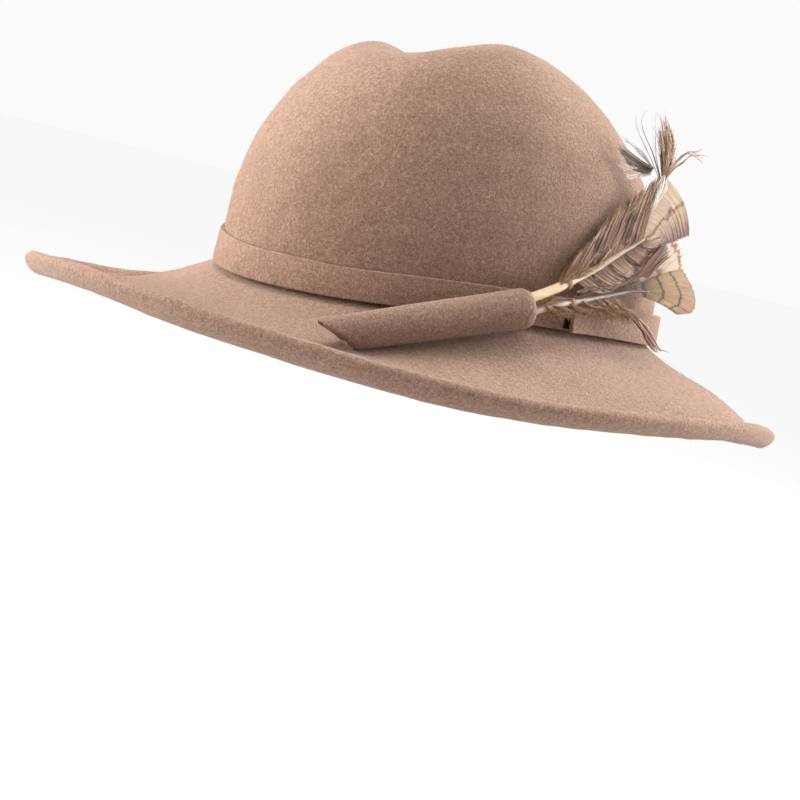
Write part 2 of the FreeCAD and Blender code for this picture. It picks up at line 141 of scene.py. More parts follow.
class Batch:
    """Many small surfaces that become one mesh."""

    def __init__(self):
        self.points = []
        self.faces = []
        self.uv = []
        self.shade = []
        self.count = 0

    def grid(self, points, uv, shade, close_columns=False):
        rows, columns = points.shape[:2]
        self.faces += grid_faces(rows, columns, close_columns=close_columns, start=self.count)
        self.points.append(points.reshape(-1, 3))
        self.uv.append(uv.reshape(-1, 2))
        self.shade.append(np.full(rows * columns, shade))
        self.count += rows * columns

    def ribbon(self, path, width, side, place, shade):
        """Flat strip along a path; place is its position in its row, 0 to 1."""
        along = np.linspace(0, 1, len(path))
        half = side * np.asarray(width)[:, None] / 2
        points = np.stack([path - half, path + half], 1)
        uv = np.stack([np.full((len(path), 2), place), np.repeat(along[:, None], 2, 1)], -1)
        self.grid(points, uv, shade)

    def tube(self, path, radius, shade, sides):
        """Round strand along a path, closed to a point at both ends."""
        points, uv = tube_grid(path, radius, sides)
        self.grid(points, uv, shade, close_columns=True)

    def build(self, name, material):
        return build(name, np.vstack(self.points), self.faces, material, np.vstack(self.uv),
                     np.concatenate(self.shade))


def tube_grid(path, radius, sides, squash=1.0):
    """Rings of points round a path, with a pinched ring at both ends."""
    path = np.asarray(path, float)
    radius = np.broadcast_to(np.asarray(radius, float), (len(path),)).copy()
    tangent = unit(np.gradient(path, axis=0))
    side = np.zeros_like(path)
    start = np.cross(tangent[0], [0.0, 0.0, 1.0])
    if np.linalg.norm(start) < 0.1:
        start = np.cross(tangent[0], [1.0, 0.0, 0.0])
    side[0] = unit(start)
    for step in range(1, len(path)):
        side[step] = unit(side[step - 1] - tangent[step] * (side[step - 1] @ tangent[step]))
    over = np.cross(side, tangent)
    path, side, over = (np.vstack([rows[:1], rows, rows[-1:]]) for rows in (path, side, over))
    radius = np.concatenate([[radius[0] * 0.02], radius, [radius[-1] * 0.02]])
    turn = np.arange(sides) * TURN / sides
    ring = (side[:, None, :] * np.cos(turn)[None, :, None]
            + over[:, None, :] * squash * np.sin(turn)[None, :, None])
    points = path[:, None, :] + ring * radius[:, None, None]
    length = np.concatenate([[0], np.cumsum(np.linalg.norm(np.diff(path, axis=0), axis=1))])
    uv = np.stack([np.broadcast_to(np.arange(sides) / sides, points.shape[:2]),
                   np.broadcast_to((length / length[-1])[:, None], points.shape[:2])], -1)
    return points, uv


# ---- materials


class Nodes:
    """Short hand for a material's node tree."""

    def __init__(self, name):
        self.material = bpy.data.materials.new(name)
        self.material.use_nodes = True
        self.tree = self.material.node_tree
        self.shader = self.tree.nodes["Principled BSDF"]

    def add(self, kind, inputs=None, **values):
        """New node; each input is a constant or another node's output."""
        node = self.tree.nodes.new(kind)
        for key, value in values.items():
            setattr(node, key, value)
        for key, value in (inputs or {}).items():
            if isinstance(value, bpy.types.NodeSocket):
                self.link(value, node.inputs[key])
            else:
                node.inputs[key].default_value = value
        return node

    def link(self, source, target):
        self.tree.links.new(source, target)

    def object_place(self):
        return self.add("ShaderNodeTexCoord").outputs["Object"]

    def uv(self):
        return self.add("ShaderNodeUVMap", uv_map="UVMap").outputs["UV"]

    def scaled(self, vector, scale):
        return self.add("ShaderNodeMapping", {"Vector": vector, "Scale": scale}).outputs["Vector"]

    def noise(self, vector, scale, detail, rough, distortion=0.0):
        inputs = {"Vector": vector, "Scale": scale, "Detail": detail, "Roughness": rough,
                  "Distortion": distortion}
        return self.add("ShaderNodeTexNoise", inputs).outputs["Fac"]

    def math(self, operation, *values):
        return self.add("ShaderNodeMath", dict(enumerate(values)), operation=operation).outputs[0]

    def ramp(self, value, stops):
        """Colour ramp; each stop is a place and a colour or a grey."""
        node = self.add("ShaderNodeValToRGB", {"Fac": value})
        elements = node.color_ramp.elements
        while len(elements) < len(stops):
            elements.new(0.5)
        for element, (place, colour) in zip(elements, stops):
            element.position = place
            colour = (colour,) * 3 if isinstance(colour, (int, float)) else colour
            element.color = (*colour, 1.0)
        return node.outputs["Color"]

    def mix(self, share, a, b, blend="MIX"):
        a, b = ((*value, 1.0) if isinstance(value, tuple) else value for value in (a, b))
        node = self.add("ShaderNodeMix", {0: share, 6: a, 7: b}, data_type="RGBA", blend_type=blend)
        return node.outputs[2]

    def shaded(self, colour, value, stops):
        """The colour times a grey ramp."""
        return self.mix(1.0, colour, self.ramp(value, stops), "MULTIPLY")

    def own_shade(self):
        return self.add("ShaderNodeAttribute", attribute_name="shade").outputs["Fac"]

    def bump(self, height, distance, strength, **under):
        inputs = {"Height": height, "Distance": distance, "Strength": strength, **under}
        return self.add("ShaderNodeBump", inputs).outputs["Normal"]

    def set(self, colour=None, normal=None, **constants):
        if colour is not None:
            self.link(colour, self.shader.inputs["Base Color"])
        if normal is not None:
            self.link(normal, self.shader.inputs["Normal"])
        for name, value in constants.items():
            self.shader.inputs[name.replace("_", " ")].default_value = value
        return self.material


def felt_material(name, dark, middle, light, grain=1.0, sheen=0.25):
    """Matt wool felt: matted fibres, pale flecks and soft tone changes."""
    n = Nodes(name)
    place = n.object_place()
    clouds = n.noise(place, 32.0, 3.0, 0.5)
    mottle = n.noise(place, 640.0, 4.0, 0.7, 0.5)
    grains = n.noise(place, 1700.0, 3.0, 0.7, 0.3)
    strands_a = n.noise(n.scaled(place, (3000.0, 620.0, 900.0)), 1.0, 2.0, 0.6, 1.0)
    strands_b = n.noise(n.scaled(place, (640.0, 2800.0, 2400.0)), 1.0, 2.0, 0.6, 1.0)
    strands = n.math("MAXIMUM", strands_a, strands_b)
    tone = n.math("ADD", n.math("MULTIPLY", mottle, 0.45), n.math("MULTIPLY", grains, 0.55))
    colour = n.ramp(tone, [(0.35, dark), (0.5, middle), (0.65, light)])
    flecks = n.ramp(strands, [(0.62, 0.0), (0.74, 1.0)])
    colour = n.mix(n.math("MULTIPLY", flecks, 0.22 * grain), colour, light)
    colour = n.shaded(colour, clouds, [(0.3, 0.93), (0.7, 1.05)])
    height = n.math("ADD", n.math("MULTIPLY", grains, 0.6), n.math("MULTIPLY", strands, 0.4))
    normal = n.bump(mottle, 0.0016, 0.6 * grain)
    normal = n.bump(height, 0.0008, 0.8 * grain, Normal=normal)
    return n.set(colour, normal, Roughness=0.95, Specular_IOR_Level=0.12, Sheen_Weight=sheen,
                 Sheen_Roughness=0.45, Sheen_Tint=(1.0, 0.93, 0.87, 1.0))


def quill_material(name, root, middle, tip):
    """Feather shaft: pale horn with fine lengthwise streaks."""
    n = Nodes(name)
    uv = n.uv()
    parts = n.add("ShaderNodeSeparateXYZ", {0: uv})
    colour = n.ramp(parts.outputs[1], [(0.3, root), (0.62, middle), (0.95, tip)])
    streaks = n.noise(n.scaled(uv, (26.0, 3.0, 1.0)), 1.0, 4.0, 0.7)
    colour = n.shaded(colour, streaks, [(0.3, 0.68), (0.6, 1.08)])
    spots = n.noise(n.object_place(), 700.0, 3.0, 0.6)
    colour = n.shaded(colour, spots, [(0.3, 0.85), (0.65, 1.05)])
    return n.set(colour, n.bump(streaks, 0.0004, 0.6), Roughness=0.42, Specular_IOR_Level=0.45,
                 Subsurface_Weight=0.08)


def vane_material(name, root, middle, tip, bar=None, bars=0.0, phase=0.0, slant=0.0, width=0.72,
                  along="U", wobble=0.6, sheen=0.2, depth=1.0):
    """Feather barbs, coloured from root to tip, with dark cross bars and a shade of its own on each."""
    n = Nodes(name)
    uv = n.uv()
    parts = n.add("ShaderNodeSeparateXYZ", {0: uv})
    u, v = parts.outputs[0], parts.outputs[1]
    patch = n.noise(n.scaled(uv, (5.0, 3.0, 1.0)), 1.0, 3.0, 0.6)
    place = n.math("ADD", v, n.math("MULTIPLY", n.math("SUBTRACT", patch, 0.5), 0.5))
    colour = n.ramp(place, [(0.08, root), (0.5, middle), (0.94, tip)])
    if bar is not None:
        main, other = (u, v) if along == "U" else (v, u)
        wave = n.math("ADD", n.math("MULTIPLY", main, bars * TURN), n.math("MULTIPLY", other, slant * TURN))
        wave = n.math("ADD", wave, n.math("MULTIPLY", n.math("SUBTRACT", patch, 0.5), wobble * TURN))
        wave = n.math("SINE", n.math("ADD", wave, phase * TURN))
        mask = n.ramp(n.math("MULTIPLY_ADD", wave, 0.5, 0.5), [(width, 0.0), (min(width + 0.12, 1.0), 1.0)])
        colour = n.mix(mask, colour, bar)
    streaks = n.noise(n.scaled(uv, (170.0, 2.5, 1.0)), 1.0, 3.0, 0.65)
    colour = n.shaded(colour, streaks, [(0.28, 1 - 0.4 * depth), (0.66, 1 + 0.2 * depth)])
    colour = n.shaded(colour, n.own_shade(), [(0.0, 1 - 0.38 * depth), (1.0, 1 + 0.3 * depth)])
    return n.set(colour, n.bump(streaks, 0.0003, 0.4), Roughness=0.62, Specular_IOR_Level=0.3,
                 Sheen_Weight=sheen, Sheen_Roughness=0.4)


def strand_material(name, dark, light, rough=0.6):
    """Loose barbs, threads and down: a shade of its own on each strand."""
    n = Nodes(name)
    colour = n.ramp(n.own_shade(), [(0.0, dark), (1.0, light)])
    grain = n.noise(n.object_place(), 1500.0, 2.0, 0.6)
    colour = n.shaded(colour, grain, [(0.3, 0.8), (0.7, 1.12)])
    return n.set(colour, n.bump(grain, 0.0002, 0.5), Roughness=rough, Specular_IOR_Level=0.25)


def ribbon_material():
    """Grosgrain: crosswise ribs and a faint weave."""
    n = Nodes("grosgrain")
    uv = n.uv()
    ribs = n.add("ShaderNodeTexWave", {"Vector": n.scaled(uv, (160.0, 1.0, 1.0)), "Scale": 1.0})
    weave = n.noise(n.scaled(uv, (900.0, 60.0, 1.0)), 1.0, 2.0, 0.6)
    colour = n.ramp(weave, [(0.3, (0.010, 0.008, 0.007)), (0.7, (0.035, 0.029, 0.025))])
    height = n.math("ADD", ribs.outputs["Fac"], n.math("MULTIPLY", weave, 0.35))
    return n.set(colour, n.bump(height, 0.0005, 0.8), Roughness=0.7, Specular_IOR_Level=0.3,
                 Sheen_Weight=0.15)


def metal_material(name, colour, rough):
    """Drawn metal with fine lengthwise grain."""
    n = Nodes(name)
    grain = n.noise(n.scaled(n.object_place(), (300.0, 300.0, 3000.0)), 1.0, 3.0, 0.6)
    shade = n.ramp(grain, [(0.3, tuple(0.75 * c for c in colour)), (0.7, colour)])
    return n.set(shade, n.bump(grain, 0.0001, 0.5), Roughness=rough, Metallic=1.0)


FELT_DARK = (0.162, 0.087, 0.056)
FELT_MIDDLE = (0.285, 0.168, 0.116)
FELT_LIGHT = (0.455, 0.308, 0.230)

felt = felt_material("wool_felt", FELT_DARK, FELT_MIDDLE, FELT_LIGHT)
holder_felt = felt_material("holder_felt", FELT_DARK, FELT_MIDDLE, FELT_LIGHT, grain=1.3, sheen=0.2)
fuzz_fibre = strand_material("felt_fibre", FELT_DARK, FELT_LIGHT, 0.9)
grosgrain = ribbon_material()
thread = strand_material("sewing_thread", (0.10, 0.06, 0.04), (0.20, 0.13, 0.09), 0.7)
# Painted shade: near-black strands stand for the shadow in the gap under the band's lapped end.
painted_gap_shade = strand_material("painted_gap_shade", (0.010, 0.006, 0.005), (0.03, 0.018, 0.013), 0.9)
wire_steel = metal_material("wire_steel", (0.55, 0.55, 0.56), 0.35)
joiner_brass = metal_material("joiner_brass", (0.78, 0.60, 0.30), 0.3)

# ---- the hat's own shapes


def outward(angle):
    """Level direction straight out of the headline oval."""
    return unit(np.stack([np.sin(angle) / HALF_WIDTH, -np.cos(angle) / HALF_LENGTH], -1))


def oval(angle, offset, height):
    """Points beside the headline oval, pushed out by the offset."""
    angle, offset, height = np.broadcast_arrays(angle, offset, height)
    way = outward(angle)
    x = HALF_WIDTH * np.sin(angle) + way[..., 0] * offset
    y = -HALF_LENGTH * np.cos(angle) + way[..., 1] * offset
    return np.stack([x, y, height], -1)


def seat(angle):
    """Height of the line where crown and brim meet."""
    return SEAT_TILT * np.cos(angle) + SEAT_SADDLE * np.cos(2 * angle)


def crown_top(back, left):
    """Height of the dome without its dent, at shares of the headline's half axes."""
    return CROWN_HEIGHT - CROWN_RISE * back - CROWN_SAG * back ** 2 + CROWN_LEAN * left


def crown(angle, climb, growth):
    """Points on the dome; climb runs from 0 at the headline to a right angle at the top."""
    power = 2 / CROWN_ROUNDNESS
    spread = np.maximum(np.cos(climb), 0) ** power
    lift = np.sin(climb) ** power
    spread = spread * (1 + CROWN_BULGE * lift)
    x = (HALF_WIDTH + growth) * np.sin(angle) * spread + CROWN_SHIFT_LEFT * lift
    y = -(HALF_LENGTH + growth) * np.cos(angle) * spread - CROWN_SHIFT_FRONT * lift
    along = y / HALF_LENGTH
    top = crown_top(along, x / HALF_WIDTH) + growth
    across = x + DENT_OFFSET + DENT_SKEW * y
    fade = 1 / (1 + np.exp((np.abs(y - DENT_MIDDLE) - DENT_HALF_LENGTH) / DENT_END))
    dent = DENT_DEPTH * np.exp(-(across / DENT_HALF_WIDTH) ** 2) * fade
    return np.stack([x, y, seat(angle) * (1 - lift) + (top - dent) * lift], -1)


def wall_offset(angle, height):
    """How far the crown stands off the headline oval, at a height above the headline."""
    top = crown_top(-np.cos(angle), np.sin(angle))
    climb = np.arcsin((height / (top - seat(angle))) ** (CROWN_ROUNDNESS / 2))
    beside = crown(angle, climb, 0.0) - oval(angle, 0.0, 0.0)
    return (beside[..., :2] * outward(angle)).sum(-1)


def make_crown():
    columns = 320
    turn = np.arange(columns) * TURN / columns
    skins = []
    for growth, rows in ((0.0, 130), (-FELT, 44)):
        climb = np.linspace(0, math.pi / 2 - 0.012, rows)
        skin = crown(turn[None, :], climb[:, None], growth)
        away = unit(skin - np.array([0.0, 0.0, 35.0]))
        if growth == 0.0:
            skin += away * (0.55 * ripple(skin, 62.0, 3) * np.sin(climb)[:, None] ** 0.5)[..., None]
            skin += away * (0.16 * ripple(skin, 13.0, 4))[..., None]
        skins.append(skin)
    outer, inner = skins
    start = outer.shape[0] * columns
    apex_out = start + inner.shape[0] * columns
    points = np.vstack([outer.reshape(-1, 3), inner.reshape(-1, 3),
                        outer[-1].mean(0, keepdims=True), inner[-1].mean(0, keepdims=True)])
    faces = grid_faces(outer.shape[0], columns, close_columns=True)
    faces += grid_faces(inner.shape[0], columns, close_columns=True, start=start)
    for step in range(columns):
        after = (step + 1) % columns
        faces.append([step, after, start + after, start + step])
        for first, apex in (((outer.shape[0] - 1) * columns, apex_out), (apex_out - columns, apex_out + 1)):
            faces.append([first + step, first + after, apex])
    made = build("crown_shell", points, faces, felt, closed=True)
    finish_piece(made, "hat", "felt", "crown_felt")
    return outer


def brim_width(angle):
    return 68.1 + 8.0 * np.cos(angle) - 2.4 * np.cos(2 * angle) - 4.2 * np.sin(angle)


def edge_height(angle):
    return (-26.7 - 0.9 * np.cos(angle) - 1.8 * np.cos(2 * angle) + 4.9 * np.cos(3 * angle)
            + 3.3 * np.sin(angle) + 1.7 * np.sin(2 * angle) + 0.8 * np.sin(3 * angle))


def plate_height(angle, part):
    """Height of the brim's top face, part of the way out."""
    width = brim_width(angle)
    slope_out = EDGE_SLOPE + EDGE_SLOPE_FRONT * np.cos(angle)
    return ((2 * part ** 3 - 3 * part ** 2 + 1) * seat(angle)
            + (part ** 3 - 2 * part ** 2 + part) * width * ROOT_SLOPE
            + (3 * part ** 2 - 2 * part ** 3) * edge_height(angle)
            + (part ** 3 - part ** 2) * width * slope_out - 0.1)


def brim_profile(angle):
    """Closed section of the brim at every angle, and the middle of its rolled edge."""
    width = brim_width(angle)
    rise = LIP_LEAST + LIP_MORE * (0.5 + 0.5 * np.cos(angle - 0.9)) ** 1.6
    part = np.linspace(0, 1, 72)[:, None]
    turn = np.linspace(0, math.pi / 2, 15)[1:, None]
    lip = edge_height(angle) + rise * (1 - np.cos(turn))
    upper = np.stack([np.vstack([part * width, width + LIP_REACH * np.sin(turn)]),
                      np.vstack([plate_height(angle, part), lip])])
    for _ in range(36):
        upper[:, 1:-1] = 0.25 * upper[:, :-2] + 0.5 * upper[:, 1:-1] + 0.25 * upper[:, 2:]
    run = np.gradient(upper, axis=1)
    run /= np.linalg.norm(run, axis=0)
    facing = np.stack([-run[1], run[0]])
    travelled = np.cumsum(np.linalg.norm(np.diff(upper, axis=1, prepend=upper[:, :1]), axis=0), axis=0)
    swell = np.clip(1 - (travelled[-1] - travelled) / LIP_ROLL, 0, 1)
    thick = BRIM_FELT + LIP_SWELL * swell ** 2 * (3 - 2 * swell)
    radius = thick[-1] / 2
    middle = upper[:, -1] - radius * facing[:, -1]
    crest = [middle + radius * (facing[:, -1] * math.cos(roll) + run[:, -1] * math.sin(roll))
             for roll in np.linspace(0, math.pi, 13)[1:-1]]
    section = np.concatenate([upper, np.stack(crest, 1), (upper - thick * facing)[:, ::-1]], 1)
    offset, height = section
    low, high = seat(angle) - 0.1, seat(angle) + COLLAR_HEIGHT
    below = high - COLLAR_ROUND
    collar = [(COLLAR_IN, low - BRIM_FELT), (COLLAR_IN, below), (COLLAR_IN + COLLAR_ROUND, high),
              (COLLAR_OUT - COLLAR_ROUND, high), (COLLAR_OUT, below), (COLLAR_OUT, low)]
    offset = np.vstack([offset] + [np.full_like(angle, at) for at, _ in collar])
    height = np.vstack([height] + [level for _, level in collar])
    return offset, height, middle


def make_brim():
    columns = 480
    angle = np.arange(columns) * TURN / columns
    offset, height, wire = brim_profile(angle)
    points = oval(angle[None, :], offset, height)
    out = np.clip((offset - 6.0) / 20.0, 0, 1)
    points[..., 2] += out * (0.5 * ripple(points * [1, 1, 0.2], 75.0, 8) + 0.12 * ripple(points, 15.0, 9))
    faces = grid_faces(*points.shape[:2], close_rows=True, close_columns=True)
    made = build("brim_shell", points.reshape(-1, 3), faces, felt, closed=True)
    path = oval(angle, wire[0], wire[1])
    back = columns // 2
    for name, material, radius, line, slot, node in (
            ("edge_wire", wire_steel, 0.6, np.vstack([path, path[:1]]), "wire", "brim_wire"),
            ("edge_joiner", joiner_brass, 1.1, path[back - 4:back + 5], "joiner", "wire_joiner")):
        batch = Batch()
        batch.tube(line, radius, 0.5, sides=10)
        finish_piece(batch.build(name, material), "hat", slot, node)
    finish_piece(made, "hat", "felt", "brim_felt")
    return points


def rounded_section(radius_across, radius_up):
    """Rectangle with rounded corners, as shares of the thickness and the height."""
    section = []
    for across, up, first in ((1, 0, 270), (1, 1, 0), (0, 1, 90), (0, 0, 180)):
        for step in range(4):
            turn = math.radians(first + 30 * step)
            section.append((abs(across - radius_across) + radius_across * math.cos(turn),
                            abs(up - radius_up) + radius_up * math.sin(turn)))
    return section


def strip(name, start, end, section_at, material, rows=620):
    """Strip that runs round the hat and on over its own start."""
    total = start - end + TURN
    travelled = np.linspace(0, total, rows)
    points = section_at(start - travelled, travelled, total)
    columns = points.shape[1]
    faces = grid_faces(rows, columns, close_columns=True)
    faces.append(list(range(columns)))
    faces.append(list(range(rows * columns - 1, (rows - 1) * columns - 1, -1)))
    uv = np.stack([np.broadcast_to((travelled / total)[:, None], points.shape[:2]),
                   np.broadcast_to(np.linspace(0, 1, columns), points.shape[:2])], -1)
    return build(name, points.reshape(-1, 3), faces, material, uv.reshape(-1, 2), closed=True)


def lap_rise(travelled, total, lap, thickness):
    """How far a strip stands out to lie over its own start."""
    ramp = 0.6 * lap
    share = np.clip((travelled - (total - lap - ramp)) / ramp, 0, 1)
    return thickness * share * share * (3 - 2 * share)


def band_lean(angle, up):
    """Offset of the band's inner face: flared at its foot, close to the crown at its top."""
    inner_top = BAND_GAP + wall_offset(angle, BAND_TALL + BAND_FOOT)
    return (BAND_FLARE + 0.5 * inner_top) * (1 - up) + inner_top * up


def make_band():
    """One strip of felt round the crown, its end lapped over its start on the wearer's left."""
    start, end = math.radians(131), math.radians(94)
    corners = rounded_section(0.24, 0.045)

    def section_at(angle, travelled, total):
        step = lap_rise(travelled, total, start - end, BAND_THICK + BAND_GAP)
        wave = 0.35 * ripple(oval(angle, 0.0, 0.0), 60.0, 21)
        loose = BAND_LOOSE * np.clip((travelled - total) / math.radians(7) + 1, 0, 1) ** 2
        columns = []
        for across, up in corners:
            offset = band_lean(angle, up) + step + loose * (1 - up) ** 1.5 + across * BAND_THICK
            height = seat(angle) + BAND_FOOT + up * (BAND_TALL + wave) + 0.25 * wave
            columns.append(oval(angle, offset, height))
        return np.stack(columns, 1)

    made = strip("felt_band", start, end, section_at, felt)
    # Painted shade: near-black strands fill the gap under the lapped end, where its shadow falls.
    batch = Batch()
    height = np.linspace(1.0, BAND_TALL - 1.0, 12)
    for turn in np.linspace(-0.6, 2.4, 16):
        angle = np.full(12, end + math.radians(turn))
        out = band_lean(angle, height / BAND_TALL) + BAND_THICK + 0.35
        batch.tube(oval(angle, out, seat(angle) + BAND_FOOT + height), 0.42, 0.1, sides=6)
    finish_piece(batch.build("lap_gap_painted_shade", painted_gap_shade), "hat", "ribbon")
    return finish_piece(made, "hat", "felt", "hat_band")


def make_sweatband():
    start, end = math.radians(188), math.radians(176)
    thickness, tall = 0.8, 23.0
    corners = rounded_section(0.3, 0.012)

    def section_at(angle, travelled, total):
        step = lap_rise(travelled, total, start - end, thickness + 0.1)
        offset_out = COLLAR_IN - 0.15 - step
        columns = []
        for across, up in corners:
            offset = offset_out - 1.6 * up - (1 - across) * thickness
            columns.append(oval(angle, offset, seat(angle) - 1.0 + up * tall))
        return np.stack(columns, 1)

    made = strip("ribbon_sweatband", start, end, section_at, grosgrain, rows=420)
    return finish_piece(made, "hat", "ribbon", "sweatband")


# ---- holder

MOUTH = np.array([98.2, -18.0, 12.4])
AXIS = unit(np.array([8.2, 76.4, 26.2]))
HOLDER_UP = unit(np.array([0.0, 0.0, 1.0]) - AXIS * AXIS[2])
HOLDER_SIDE = np.cross(AXIS, HOLDER_UP)
HOLDER_LENGTH, HOLDER_RADIUS = 95.0, 8.0
TAIL = MOUTH - AXIS * HOLDER_LENGTH


def holder_outline(along):
    """Outer radius of the roll: it swells towards the mouth, which is rounded over."""
    radius = HOLDER_RADIUS + 1.5 * along / HOLDER_LENGTH
    into = np.clip((along - HOLDER_LENGTH + 5.5) / 5.5, 0, 1)
    return radius - 3.2 * (1 - np.sqrt(np.maximum(1 - into ** 2, 0)))


def make_holder():
    """Felt rolled one and a third times round, cut on a slant in front and hemmed at the mouth."""
    thickness, pitch, turns = 1.9, 2.05, 1.36
    rows, columns = 150, 150
    last = math.radians(250)
    turn = np.linspace(last - turns * TURN, last, columns)
    inward = pitch * (last - turn) / TURN
    reach = HOLDER_RADIUS - thickness / 2 - inward
    cut = (HOLDER_RADIUS - reach * np.cos(turn)) * math.tan(math.radians(48))
    cut += 0.35 * np.sin(turn * 3 + 1)
    end = HOLDER_LENGTH - 3.0 * np.clip((inward - pitch * 0.5) / (pitch * 0.5), 0, 1)
    share = np.linspace(0, 1, rows)[:, None] ** 0.9
    along = cut + (end - cut) * share
    layers = []
    for side in (0.5, -0.5):
        outline = holder_outline(along) - thickness / 2 - inward
        edge = np.minimum(share * rows / 4, 1) * np.minimum((1 - share) * rows / 3, 1)
        thick = thickness * np.sqrt(np.clip(0.25 + 0.75 * edge, 0, 1))
        across = 0.5 * np.sin(along / 17.0) + 0.25 * np.sin(along / 6.3 + turn)
        radius = outline + side * thick + 0.12 * across
        ring = HOLDER_UP * np.cos(turn)[None, :, None] + HOLDER_SIDE * np.sin(turn)[None, :, None]
        points = TAIL + AXIS * along[..., None] + ring * radius[..., None]
        layers.append(points)
    outer, inner = layers
    faces = grid_faces(rows, columns) + grid_faces(rows, columns, start=rows * columns)
    index = np.arange(rows * columns).reshape(rows, columns)
    border = np.concatenate([index[0, :], index[1:, -1], index[-1, -2::-1], index[-2:0:-1, 0]])
    for first, second in zip(border, np.roll(border, -1)):
        faces.append([int(first), int(second), int(second) + rows * columns, int(first) + rows * columns])
    points = np.vstack([outer.reshape(-1, 3), inner.reshape(-1, 3)])
    made = build("rolled_holder", points, faces, holder_felt, closed=True)
    return finish_piece(made, "hat", "felt", "quill_holder"), outer


# ---- feathers

LEAN = math.radians(10)
SPRAY_ALONG = unit(np.array([-0.13, 0.9915, 0.0]))
LEVEL_OUT = np.cross(SPRAY_ALONG, [0.0, 0.0, 1.0])
SPRAY_UP = np.array([0.0, 0.0, math.cos(LEAN)]) - LEVEL_OUT * math.sin(LEAN)
SPRAY_OUT = np.cross(SPRAY_ALONG, SPRAY_UP)
SPRAY_ORIGIN = np.array([100.4, -14.7, 0.0])


def spray(points):
    """Row-frame points from places in the feathers' plane: along, up and out."""
    points = np.asarray(points, float)
    if points.shape[-1] == 2:
        points = np.concatenate([points, np.zeros(points.shape[:-1] + (1,))], -1)
    return SPRAY_ORIGIN + points @ np.stack([SPRAY_ALONG, SPRAY_UP, SPRAY_OUT])


def make_vane(name, body_slot, nodes, material, roots, tips, count, width, bow=0.0, arch=0.0, seed=1,
              clump=0.0, ragged=0.04, taper=0.45, out=0.0, loose=1.0):
    """Barbs side by side, from a line of roots to a line of tips in the feathers' plane."""
    random = np.random.default_rng(seed)
    batch = Batch()
    place = (np.arange(count) + 0.5) / count
    grouped = place.copy()
    if clump:
        size = max(4, count // 9)
        bounds = np.cumsum(random.integers(size // 2, size * 2, size=60)) / count
        edges = np.concatenate([[0], bounds[bounds < 1], [1]])
        centre = (edges[:-1] + edges[1:]) / 2
        near = centre[np.clip(np.searchsorted(edges, place) - 1, 0, len(centre) - 1)]
        grouped = place + clump * (near - place)
    root = smooth_line(roots, place)
    tip = smooth_line(tips, grouped)
    v = np.linspace(0, 1, 12)
    for index in range(count):
        chord = tip[index] - root[index]
        chord = chord * (1 + ragged * random.normal())
        across = np.array([-chord[1], chord[0]])
        swing = bow * (1 + 0.12 * random.normal())
        flat = root[index] + chord * v[:, None] + across * (swing * 4 * v * (1 - v))[:, None]
        level = out + arch * 4 * v * (1 - v) + loose * (0.18 * random.normal() + 0.5 * random.normal() * v)
        path = spray(np.column_stack([flat, level]))
        tangent = unit(np.gradient(path, axis=0))
        twist = 0.25 * loose * random.normal()
        facing = unit(SPRAY_OUT + twist * SPRAY_UP)
        side = unit(np.cross(tangent, facing))
        wide = width * (1 - taper * v ** 1.5)
        wide[-1] *= 0.25
        batch.ribbon(path, wide, side, place[index], np.clip(0.5 + 0.22 * random.normal(), 0, 1))
    finish_piece(batch.build(name, material), "feather_spray", body_slot, *nodes)


def make_strands(name, body_slot, nodes, material, lines, width, seed, copies, spread, flat=True, wave=0.0):
    """Loose strands: each line of controls is repeated with some scatter."""
    random = np.random.default_rng(seed)
    batch = Batch()
    at = np.linspace(0, 1, 22)
    for controls in lines:
        controls = np.array([tuple(place) + (0.0,) * (3 - len(place)) for place in controls])
        for _ in range(copies):
            freedom = np.linspace(0.15, 1, len(controls))[:, None]
            scatter = random.normal(size=controls.shape) * spread * freedom
            line = smooth_line(controls + scatter, at * random.uniform(0.82, 1.0))
            if wave:
                turn = at * random.uniform(2.0, 5.0) * TURN + random.uniform(0, TURN)
                sway = np.column_stack([np.sin(turn), np.cos(turn), np.sin(turn * 0.7)])
                line = line + wave * sway * at[:, None]
            path = spray(line)
            wide = width * random.uniform(0.6, 1.3) * (1 - 0.8 * at ** 1.3)
            tone = np.clip(0.5 + 0.25 * random.normal(), 0, 1)
            if flat:
                tangent = unit(np.gradient(path, axis=0))
                facing = unit(SPRAY_OUT + 0.5 * random.normal() * SPRAY_UP)
                batch.ribbon(path, wide, unit(np.cross(tangent, facing)), 0.5, tone)
            else:
                batch.tube(path, wide / 2, tone, sides=5)
    finish_piece(batch.build(name, material), "feather_spray", body_slot, *nodes)


def quill_line(offset, places, at):
    """Middle line of a shaft: straight in the holder, then through places in the feathers' plane."""
    inside = [MOUTH + HOLDER_UP * offset - AXIS * back for back in (52.0, 34.0, 17.0, 3.0)]
    return smooth_line(np.vstack([inside, spray(places)]), at)


UPPER_SHAFT = [(8.0, 21.4), (14.6, 24.9), (22.0, 29.1), (31.0, 34.3), (40.9, 41.2), (48.2, 45.8),
               (55.0, 50.4)]
LOWER_SHAFT = [(9.5, 14.9), (18.1, 17.2), (25.0, 19.3), (31.9, 21.3), (44.5, 25.2), (53.0, 27.6),
               (62.5, 29.0)]


